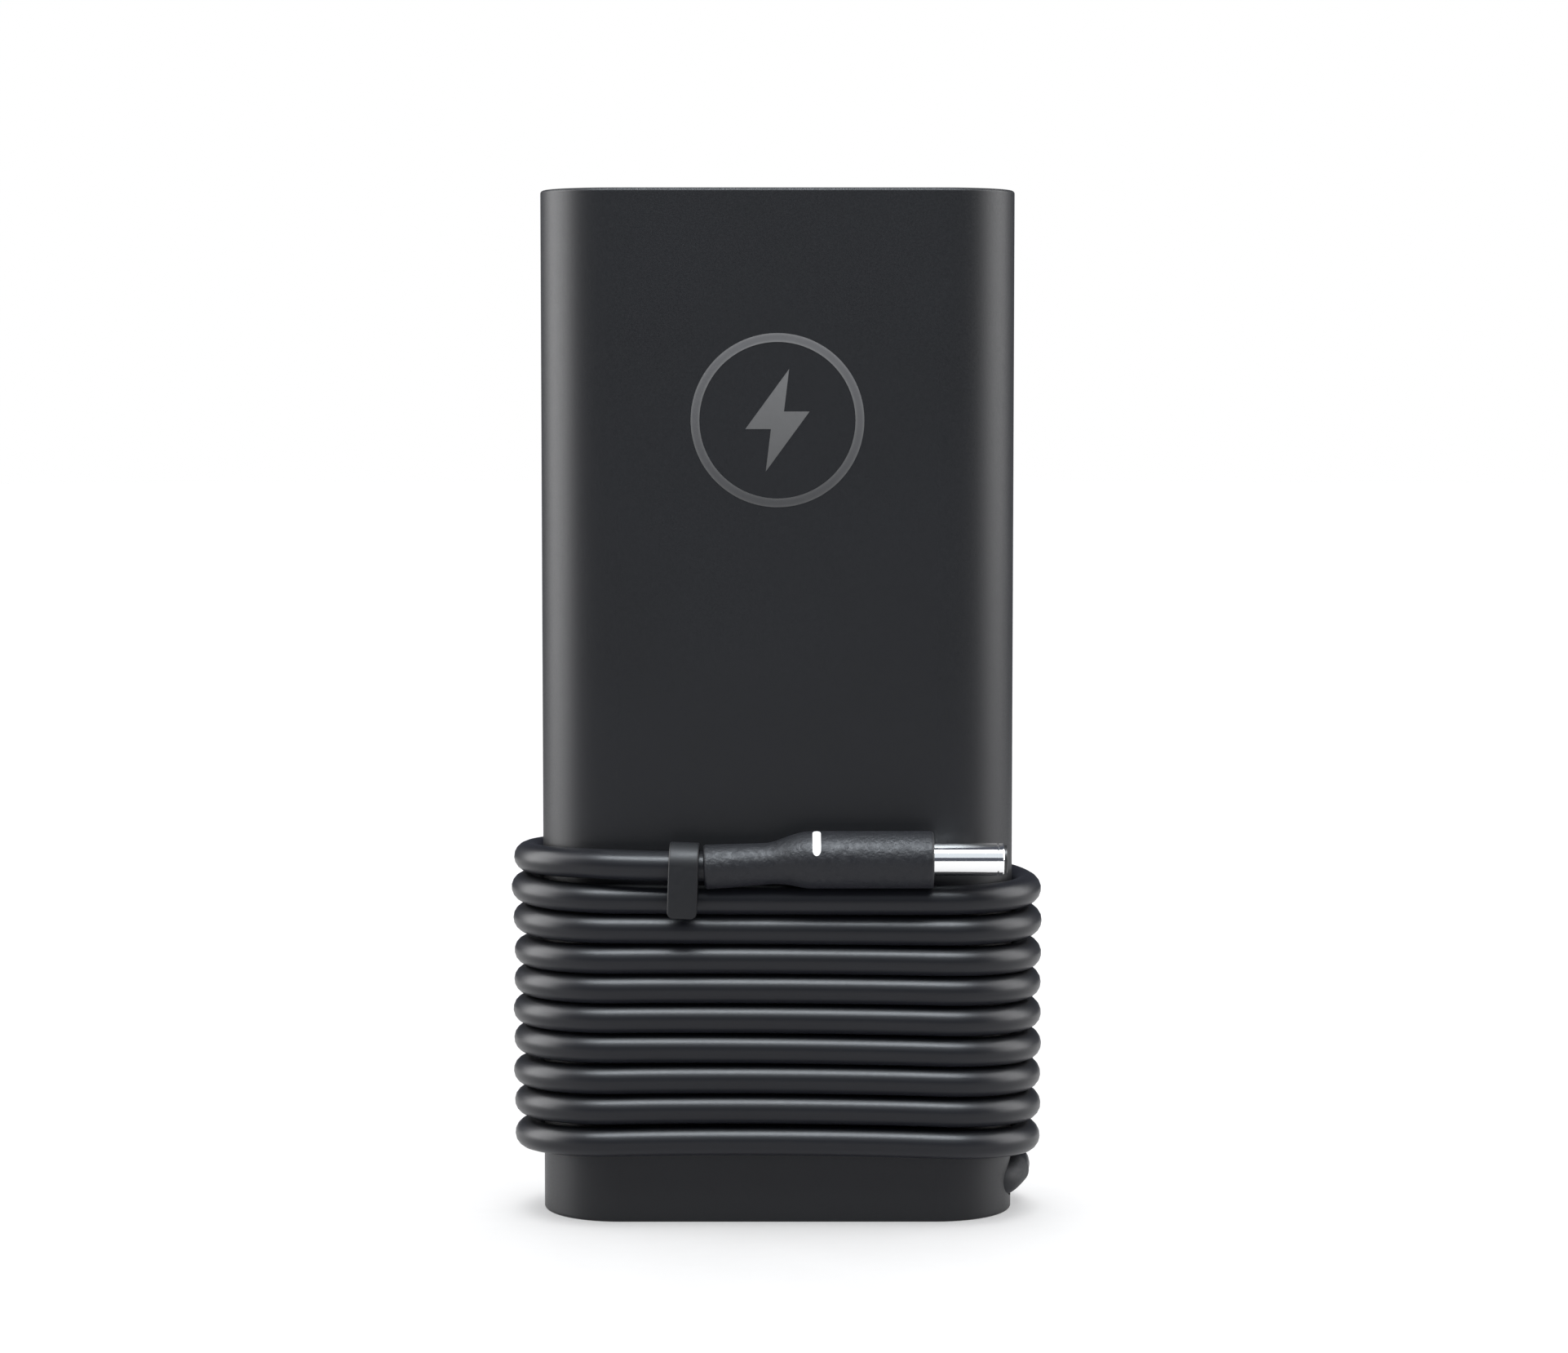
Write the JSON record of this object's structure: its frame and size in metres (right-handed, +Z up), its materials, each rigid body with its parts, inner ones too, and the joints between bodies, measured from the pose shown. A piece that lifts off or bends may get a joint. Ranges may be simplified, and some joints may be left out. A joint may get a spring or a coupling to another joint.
{
  "type": "laptop power adapter",
  "caption": "Slim laptop power adapter standing on its end, with its thin direct-current lead wound round the housing, a rubber strap, and a lit barrel plug.",
  "frame": {"origin": "middle of the flat bottom end of the housing", "axes": "+Z up along the housing towards the mains inlet, front face with the emblem towards -Y, +X to the right seen from the front"},
  "size_m": [0.0742, 0.0342, 0.143],
  "materials": {
    "housing_plastic": "fine satin moulding",
    "emblem_inlay": "satin grey inlay",
    "label_film": "blank matt film",
    "inlet_plastic": "smooth moulding",
    "plated_brass": "nickel plated",
    "wire_sleeve": "soft sleeve",
    "board_laminate": "glass laminate",
    "ceramic_disc": "dipped coat",
    "part_case": "moulded epoxy",
    "film_box": "moulded box",
    "ferrite": "sintered",
    "enamelled_wire": "enamelled copper",
    "bobbin_plastic": "phenolic",
    "tape": "polyester tape",
    "can_aluminium": "drawn can",
    "sheet_aluminium": "rolled sheet",
    "insulating_film": "polyester film",
    "thermal_gel": "soft pad",
    "cord_jacket": "smooth satin jacket",
    "plug_plastic": "fine textured overmould",
    "strap_rubber": "satin rubber",
    "bright_metal": "bright nickel",
    "insulator_plastic": "moulded insulator",
    "light_lens": "milky light window",
    "light_chip": "light emitting chip"
  },
  "bodies": {
    "adapter": {"ac_inlet_body": "inlet_plastic", "back_cover": "housing_plastic", "back_heat_spreader": "sheet_aluminium", "back_insulating_film": "insulating_film", "boost_choke_core": "ferrite", "boost_choke_winding": "enamelled_wire", "bridge_rectifier": "part_case", "bulk_capacitor": "can_aluminium", "control_chips": "part_case", "cord_lead": "cord_jacket", "cord_strain_relief": "cord_jacket", "cord_tail": "cord_jacket", "cord_winding": "cord_jacket", "film_capacitor": "film_box", "filter_choke_base": "bobbin_plastic", "filter_choke_core": "ferrite", "filter_choke_winding": "enamelled_wire", "front_cover": "housing_plastic", "front_emblem": "emblem_inlay", "front_heat_spreader": "sheet_aluminium", "front_insulating_film": "insulating_film", "fuse": "part_case", "inlet_pin_earth": "plated_brass", "inlet_pin_line": "plated_brass", "inlet_pin_neutral": "plated_brass", "inlet_wires": "wire_sleeve", "inrush_disc": "ceramic_disc", "main_board": "board_laminate", "optocoupler": "part_case", "output_capacitors": "can_aluminium", "output_choke_core": "ferrite", "output_choke_winding": "enamelled_wire", "output_rectifiers": "part_case", "output_wires": "wire_sleeve", "plug_barrel": "bright_metal", "plug_board": "board_laminate", "plug_centre_pin": "bright_metal", "plug_grip": "plug_plastic", "plug_inner_sleeve": "bright_metal", "plug_insulator": "insulator_plastic", "plug_led": "light_chip", "plug_light_window": "light_lens", "plug_pin_holder": "bobbin_plastic", "power_switches": "part_case", "primary_heat_sink": "sheet_aluminium", "rating_label": "label_film", "secondary_heat_sink": "sheet_aluminium", "surge_disc": "ceramic_disc", "thermal_pad": "thermal_gel", "transformer_bobbin": "bobbin_plastic", "transformer_core": "ferrite", "transformer_tape": "tape", "transformer_winding": "enamelled_wire", "x_capacitor": "film_box", "y_capacitors": "ceramic_disc"},
    "strap": {"cable_strap": "strap_rubber"}
  },
  "joints": [
    {"name": "strap_swing", "type": "hinge", "parent": "adapter", "child": "strap", "pos_m": [-0.0128, -0.01494, 0.05049], "axis": [-0.9992, 0.0178, 0.0357], "range_deg": [0, 165]}
  ]
}
